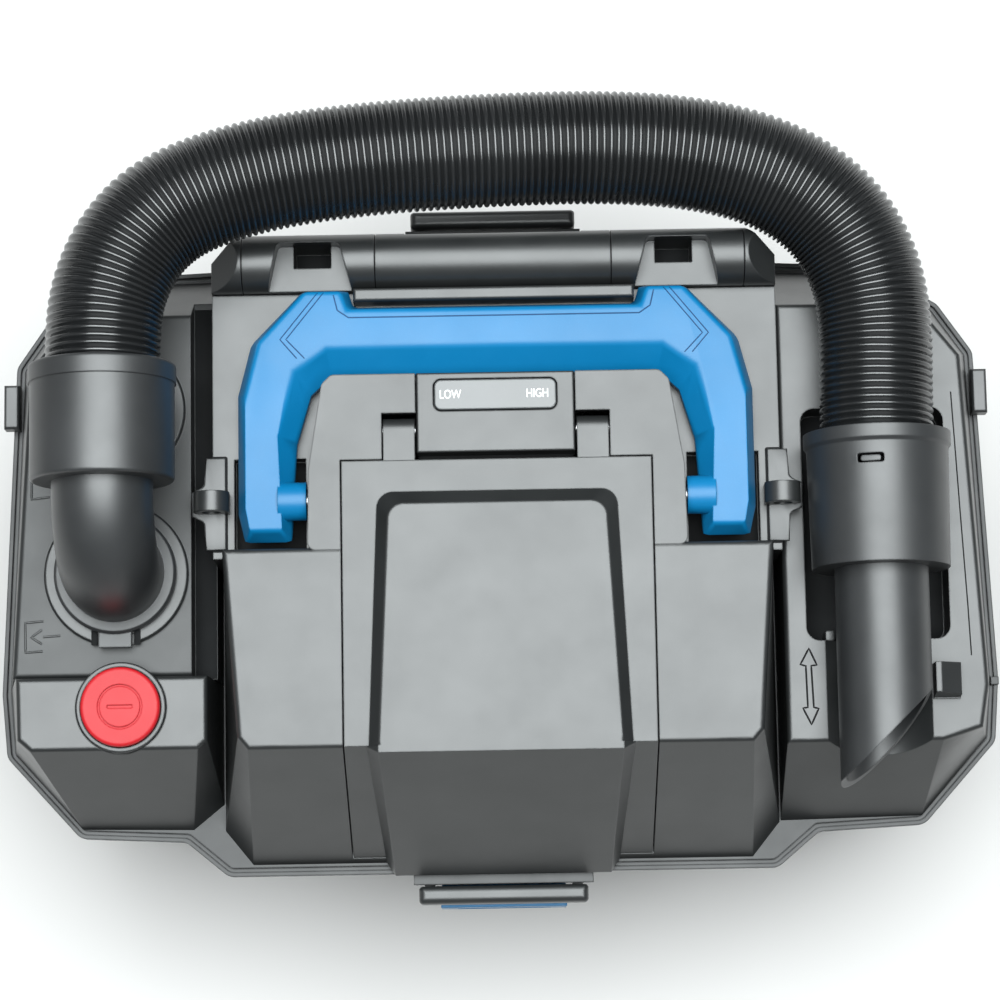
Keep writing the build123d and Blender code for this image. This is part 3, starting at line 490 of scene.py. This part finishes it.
def laid_line(bm, tree, points, width, height, closed=False):
    """A low ridge along a line of points that follows the surface below it."""
    line = stepped(points, closed)
    count = len(line)
    rows = []
    for k, here in enumerate(line):
        before = line[(k - 1) % count] if closed or k else here
        after = line[(k + 1) % count] if closed or k < count - 1 else here
        along = (after - before).normalized()
        side = Vector((-along.y, along.x, 0.0)) * (width * MM / 2)
        row = []
        for share, rise in ((-1.0, -LINE_SINK), (-0.35, height), (0.35, height), (1.0, -LINE_SINK)):
            above = here + side * share + UP * 0.5
            surface = tree.ray_cast(above, -UP)[0]
            row.append(bm.verts.new(surface + UP * (rise * MM)))
        rows.append(row)
    pairs = list(zip(rows, rows[1:]))
    if closed:
        pairs.append((rows[-1], rows[0]))
    for a, b in pairs:
        for k in range(len(a) - 1):
            bm.faces.new((a[k], a[k + 1], b[k + 1], b[k]))


def slab(bm, outline, base, thickness, soft):
    """A flat plate on a height, with its top edge softened."""
    low = [bm.verts.new(Vector((x, y, base)) * MM) for x, y in outline]
    high = [bm.verts.new(Vector((x, y, base + thickness)) * MM) for x, y in outline]
    bm.faces.new(low[::-1])
    top = bm.faces.new(high)
    join_rings(bm, low, high)
    bmesh.ops.bevel(bm, geom=list(top.edges), offset=soft * MM, segments=2, profile=0.6, affect="EDGES")


def box_outline(x0, x1, y0, y1, corner=0.0):
    """A rectangle's outline, with round corners where a radius is given."""
    if not corner:
        return [(x0, y0), (x1, y0), (x1, y1), (x0, y1)]
    found = []
    middles = [(x1 - corner, y1 - corner, 0), (x0 + corner, y1 - corner, 90),
               (x0 + corner, y0 + corner, 180), (x1 - corner, y0 + corner, 270)]
    for x, y, start in middles:
        for turn in range(0, 91, 15):
            angle = math.radians(start + turn)
            found.append((x + corner * math.cos(angle), y + corner * math.sin(angle)))
    return found


def both_sides(outline):
    """The outline and its mirror image across the middle plane."""
    return [outline, [(-x, y) for x, y in reversed(outline)]]


def slab_piece(name, outlines, base, thickness, soft=0.3, material=SHADOW_BLACK):
    """One piece of the head, made of a slab for each outline. It is matt black painted shade unless told
    otherwise.
    """
    bm = bmesh.new()
    for outline in outlines:
        slab(bm, outline, base, thickness, soft)
    finish_piece(new_object(name, bm), "head", material)


def make_recess_shade():
    """Matt black floors that paint the shade in the covers' deep recesses and gaps."""
    slab_piece("left_channel_painted_shade", [box_outline(-113.5, -105.7, -49.5, 91.0)], CHANNEL_FLOOR_Z, 0.5)
    slab_piece("right_tub_painted_shade", [box_outline(114.0, 166.5, -40.2, 46.1, 4.8)], TUB_FLOOR_Z, 0.5)
    slab_piece("pivot_well_painted_shade", both_sides(box_outline(70.8, 96.7, -6.2, 29.2)), WELL_FLOOR_Z, 0.4)
    slab_piece("accessory_slot_painted_shade", both_sides(box_outline(60.5, 74.0, 100.9, 109.5)), SLOT_FLOOR_Z, 0.6)
    slab_piece("panel_gap_painted_shade", [box_outline(-28.4, 28.4, 25.6, 29.2)], PANEL_GAP_Z, 0.7, 0.1)


def make_deck_symbols():
    """Symbols on the decks: an open bracket and a bracket with an arrow in the cover's plastic, and a double
    arrow and an edge line in matt black, painted shade of engraved grooves.
    """
    left = surface_of(nodes["left_cover"].data)
    bracket = [(-170.2, 27.2), (-173.2, 26.4), (-173.2, 17.2), (-166.6, 18.0)]
    arrow_bracket = [(-168.6, -28.4), (-175.4, -29.0), (-175.2, -40.0), (-168.9, -39.6)]
    arrow_shaft = [(-162.4, -33.9), (-168.8, -34.3)]
    arrow_head = [(-169.2, -31.6), (-173.2, -34.4), (-169.2, -36.9)]
    bm = bmesh.new()
    for points in (bracket, arrow_bracket, arrow_shaft, arrow_head):
        laid_line(bm, left, points, 1.1, 0.4)
    finish_piece(new_object("left_deck_symbols", bm), "head", MATERIALS["cover_grey"])

    right = surface_of(nodes["right_cover"].data)
    double_arrow = [(114.2, -43.4), (110.9, -49.4), (112.9, -49.9), (113.2, -65.2), (111.4, -65.5),
                    (114.4, -71.6), (117.2, -65.7), (115.4, -65.3), (114.9, -49.9), (117.0, -49.6)]
    deck_edge = [(170.2, 52.0), (172.0, 8.0), (173.6, -29.0), (174.2, -47.0)]
    bm = bmesh.new()
    # the double arrow and the deck's edge line are matt black ridges, painted shade of engraved grooves
    laid_line(bm, right, double_arrow, 0.9, 0.3, closed=True)
    laid_line(bm, right, deck_edge, 0.7, 0.2)
    finish_piece(new_object("right_deck_groove_painted_shade", bm), "head", SHADOW_BLACK)


def make_eyelet_plates():
    """The raised plate under each strap eyelet, on a thin matt black slab that paints the shade round its
    edge.
    """
    plate = [(100.2, -4.2), (107.6, -4.4), (107.8, 5.6), (108.8, 6.8), (112.6, 8.0), (113.0, 17.4),
             (108.8, 18.8), (107.8, 20.0), (107.6, 30.0), (100.2, 30.0)]
    shade_outline = box_outline(99.5, 105.3, -5.0, 30.8, 0.8)
    slab_piece("eyelet_plates", both_sides(plate), EYELET_SEAT_Z + 0.3, 1.3, 0.4,
               MATERIALS["cover_grey"])
    slab_piece("eyelet_plate_painted_shade", both_sides(shade_outline), EYELET_SEAT_Z, 0.35, 0.1)


def make_word(name, text, x):
    """A plain setting word, as thin print on the rocker's plate."""
    data = bpy.data.curves.new(name, "FONT")
    data.body = text
    data.size = WORD_HEIGHT * MM / 0.72
    data.extrude = PRINT_DEPTH * MM
    data.align_x = "CENTER"
    data.align_y = "CENTER"
    source = bpy.data.objects.new(name, data)
    scene.collection.objects.link(source)
    bpy.context.view_layer.update()
    mesh = bpy.data.meshes.new_from_object(source.evaluated_get(bpy.context.evaluated_depsgraph_get()))
    plate_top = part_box("speed_rocker")[1][2]
    place = Matrix.Translation((x * MM, WORD_Y * MM, plate_top + PRINT_RISE * MM))
    mesh.transform(place @ Matrix.Diagonal((WORD_NARROWING, 1.0, 1.0, 1.0)))
    bpy.data.objects.remove(source)
    word = bpy.data.objects.new(name, mesh)
    scene.collection.objects.link(word)
    finish_piece(word, "speed_rocker", PRINT_WHITE)


def make_cuff_tooth():
    """The snap tooth in the right cuff's window, which is turned about the cuff's axis."""
    bm = bmesh.new()
    slab(bm, box_outline(-3.6, 3.6, 19.6, 21.7, 0.5), 21.2, 3.8, 0.4)
    lean = Matrix.Rotation(-CUFF_WINDOW_TURN, 4, "Y")
    bmesh.ops.transform(bm, matrix=Matrix.Translation(CUFF_AXIS * MM) @ lean, verts=bm.verts)
    finish_piece(new_object("cuff_tooth", bm), "hose_set", MATERIALS["cuff_grey"])


def make_tub_hook():
    """The small hook at the front of the right tub."""
    slab_piece("tub_hook", [box_outline(121.0, 124.2, -40.4, -36.6, 0.5)], TUB_FLOOR_Z + 0.4, 13.1, 0.4,
               MATERIALS["cover_grey"])


def make_bayonet_notch_shade():
    """Painted shade in the two notches beside the elbow's locking tab."""
    notches = [box_outline(x, x + 2.4, -38.0, -32.0, 0.4) for x in (-150.6, -134.8)]
    slab_piece("bayonet_notch_painted_shade", notches, PORT_COLLAR_Z, 0.25, 0.1)


make_recess_shade()
make_deck_symbols()
make_eyelet_plates()
make_word("setting_low", "LOW", -16.4)
make_word("setting_high", "HIGH", 15.4)
make_cuff_tooth()
make_tub_hook()
make_bayonet_notch_shade()


# ---- handle ----
PIVOT_Y = 0.012
PIVOT_Z = 0.203
PIVOT_CLEAR = 0.0088           # edges nearer than this to the pivot's axis stay sharp
BAIL_SEAT_Z = 0.1985           # the underside's edges lie below this and stay sharp
BAIL_SHOULDER_Z = 0.2070       # a rounded edge reaches above this
INNER_CORNER_X = 0.0745        # the slanted edges inside each corner stay sharp too
INNER_CORNER_Y = (0.030, 0.061)
INNER_CORNER_Z = 0.200
BAIL_ROUND = 0.0017
SHARPEST_SMOOTH = math.radians(14)
# the lines on the bail, as darker blue ridges that paint the shade of cut grooves, in millimetres
CHEVRON = [(62.6, 89.0), (76.6, 71.6), (69.8, 64.4)]
CHEVRON_GAP = 2.2
GRIP_LINE = [(59.0, 88.0), (57.6, 82.2), (53.5, 79.4), (-53.5, 79.4), (-57.6, 82.2), (-59.0, 88.0)]


def takes_round(edge):
    """Whether an edge is a top edge or an outer corner of the bail, away from the pivots."""
    low, high = sorted((vert.co for vert in edge.verts), key=lambda co: co.z)
    near_pivot = any(math.hypot(co.y - PIVOT_Y, co.z - PIVOT_Z) < PIVOT_CLEAR for co in (low, high))
    front, back = INNER_CORNER_Y
    inner_corner = low.z < INNER_CORNER_Z and abs(low.x) < INNER_CORNER_X and front < low.y < back
    if near_pivot or inner_corner or len(edge.link_faces) != 2:
        return False
    return low.z > BAIL_SEAT_Z and high.z > BAIL_SHOULDER_Z and edge.calc_face_angle(0.0) > SHARPEST_SMOOTH


def mirror_left_half(bm):
    """Cuts at the middle plane and mirrors the left half across it."""
    geometry = bm.verts[:] + bm.edges[:] + bm.faces[:]
    bmesh.ops.bisect_plane(bm, geom=geometry, plane_co=(0, 0, 0), plane_no=(1, 0, 0), clear_outer=True)
    geometry = bm.verts[:] + bm.edges[:] + bm.faces[:]
    bmesh.ops.mirror(bm, geom=geometry, axis="X", merge_dist=1e-5)


def make_handle():
    """The bail with round top edges, and darker blue ridges that paint the shade of a chevron cut across each
    corner and a line cut along the grip.
    """
    bm = bmesh.new()
    bm.from_mesh(nodes["handle"].data)
    bmesh.ops.remove_doubles(bm, verts=bm.verts, dist=1e-6)
    bmesh.ops.dissolve_limit(bm, angle_limit=math.radians(1.0), verts=bm.verts, edges=bm.edges)
    bmesh.ops.bevel(bm, geom=[edge for edge in bm.edges if takes_round(edge)], offset=BAIL_ROUND,
                    segments=4, profile=0.5, affect="EDGES", clamp_overlap=False)
    mirror_left_half(bm)
    handle = new_object("rounded_handle", bm, 40.0)
    finish_piece(handle, "handle", MATERIALS["handle_blue"], ["handle"])

    surface = surface_of(handle.data)
    bm = bmesh.new()
    for side in (-1, 1):
        for shift in (0.0, CHEVRON_GAP):
            shifts = (shift, shift, 1.3 * shift)
            chevron = [(side * (x + move), y) for (x, y), move in zip(CHEVRON, shifts)]
            laid_line(bm, surface, chevron, 0.7, 0.12)
    laid_line(bm, surface, GRIP_LINE, 0.8, 0.12)
    finish_piece(new_object("handle_groove_painted_shade", bm), "handle", GROOVE_SHADE_BLUE)


make_handle()


# ---- inside ----
PLEATS = 44
PLEAT_DEPTHS = (0.0, 0.0028, 0.0056, 0.0028)    # how far in each of the four points of a pleat lies
END_RING = 0.003               # height of the filter's end rings
END_RING_STEP = 0.0008
FILTER_WALL = 0.0075
SPRING_WIRE_R = 0.00045
SPRING_TURNS = 6
TURN_STEPS = 24
# the battery's ribs, in millimetres
BATTERY_FRAME_INSET = 9.0
BATTERY_FIRST_RIB = 16.0
BATTERY_RIBS = 6
BATTERY_RIB_PITCH = 4.0
BATTERY_RIB_REACH = 22.0


def corners_of(name):
    """A node's lowest and highest corners and the point midway."""
    low, high = (Vector(corner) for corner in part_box(name))
    return low, high, (low + high) / 2


def make_filter():
    """The pleated cartridge round the cage, between its end rings."""
    low, high, middle = corners_of("filter")
    radius = (high.x - low.x) / 2
    count = 4 * PLEATS
    edge = [radius - END_RING_STEP] * count
    folds = [radius - PLEAT_DEPTHS[k % 4] for k in range(count)]
    inside = [radius - FILTER_WALL] * count
    rows = [(low.z, edge), (low.z + END_RING, folds), (high.z - END_RING, folds), (high.z, edge),
            (high.z, inside), (low.z, inside)]
    bm = bmesh.new()
    rings = []
    for z, radii in rows:
        points = circle(Vector((middle.x, middle.y, z)), Vector((1, 0, 0)), Vector((0, 1, 0)), radii)
        rings.append([bm.verts.new(point) for point in points])
    for k, ring in enumerate(rings):
        join_rings(bm, ring, rings[(k + 1) % len(rings)])
    cartridge = new_object("pleated_filter", bm, 50.0)
    finish_piece(cartridge, "head", MATERIALS["filter_white"], ["filter"])


def make_button_spring():
    """A wound steel spring under the power button."""
    low, high, middle = corners_of("button_spring")
    radius = (high.x - low.x) / 2 - SPRING_WIRE_R
    length = high.z - low.z
    steps = SPRING_TURNS * TURN_STEPS
    places = []
    for k in range(steps + 1):
        angle = 2 * math.pi * k / TURN_STEPS
        z = low.z + SPRING_WIRE_R + (length - 2 * SPRING_WIRE_R) * k / steps
        places.append(Vector((middle.x + radius * math.cos(angle), middle.y + radius * math.sin(angle), z)))
    bm = bmesh.new()
    tube_along(bm, places, headings_of(places), [SPRING_WIRE_R] * len(places), 8)
    bmesh.ops.holes_fill(bm, edges=[edge for edge in bm.edges if edge.is_boundary], sides=8)
    spring = new_object("wound_spring", bm, 60.0)
    finish_piece(spring, "head", MATERIALS["steel"], ["button_spring"])
    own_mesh(spring)


def make_battery_ribs():
    """A raised frame and grip ribs on top of the battery."""
    low, high = (Vector(corner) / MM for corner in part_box("battery"))
    inset = BATTERY_FRAME_INSET
    outline = box_outline(low.x + inset, high.x - inset, low.y + inset, high.y - inset, 6.0)
    surface = surface_of(nodes["battery"].data)
    bm = bmesh.new()
    laid_line(bm, surface, outline, 2.4, 0.7, closed=True)
    for k in range(BATTERY_RIBS):
        y = low.y + BATTERY_FIRST_RIB + BATTERY_RIB_PITCH * k
        laid_line(bm, surface, [(-BATTERY_RIB_REACH, y), (BATTERY_RIB_REACH, y)], 2.0, 0.9)
    finish_piece(new_object("battery_ribs", bm), "battery", MATERIALS["inner_black"])


make_filter()
make_button_spring()
make_battery_ribs()


# ---- stage ----
def make_floor():
    """A wide pale floor with a faint unevenness."""
    material, tree, shader = tree_of("pale_floor")
    shade = ramp(tree, noise(tree, 3.0, 3.0), [(0.3, (0.60, 0.585, 0.575)), (0.7, (0.62, 0.605, 0.595))])
    tree.links.new(shade, shader.inputs["Base Color"])
    shader.inputs["Roughness"].default_value = 0.7
    bm = bmesh.new()
    bmesh.ops.create_grid(bm, x_segments=4, y_segments=4, size=6.0)
    floor = new_object("floor", bm)
    floor.data.materials.append(material)


def area_light(name, place, target, width, height, radiance, colour=(1.0, 1.0, 1.0)):
    """A rectangular light that faces the target. Its power follows from its size and radiance."""
    data = bpy.data.lights.new(name, "AREA")
    data.shape = "RECTANGLE"
    data.size = width
    data.size_y = height
    data.energy = radiance * math.pi * width * height
    data.color = colour
    light = bpy.data.objects.new(name, data)
    scene.collection.objects.link(light)
    light.location = place
    light.rotation_mode = "QUATERNION"
    light.rotation_quaternion = (Vector(target) - Vector(place)).to_track_quat("-Z", "Y")


def make_light():
    """A large cool softbox overhead, two weak fills and a dim sky."""
    world = bpy.data.worlds.new("studio")
    world.use_nodes = True
    background = world.node_tree.nodes["Background"]
    background.inputs["Color"].default_value = (0.93, 0.97, 1.0, 1.0)
    background.inputs["Strength"].default_value = 0.16
    scene.world = world
    scene.view_settings.view_transform = "Standard"
    area_light("overhead", place=(0.04, 0.20, 2.1), target=(0.0, 0.02, 0.2), width=2.0, height=1.8,
               radiance=9.6, colour=(0.935, 0.99, 1.0))
    area_light("front_fill", place=(0.6, -2.6, 1.0), target=(0.0, 0.0, 0.15), width=2.2, height=1.0,
               radiance=0.22)
    area_light("left_fill", place=(-2.6, 0.2, 1.0), target=(0.0, 0.0, 0.15), width=1.6, height=1.0,
               radiance=0.35)


make_floor()
make_light()
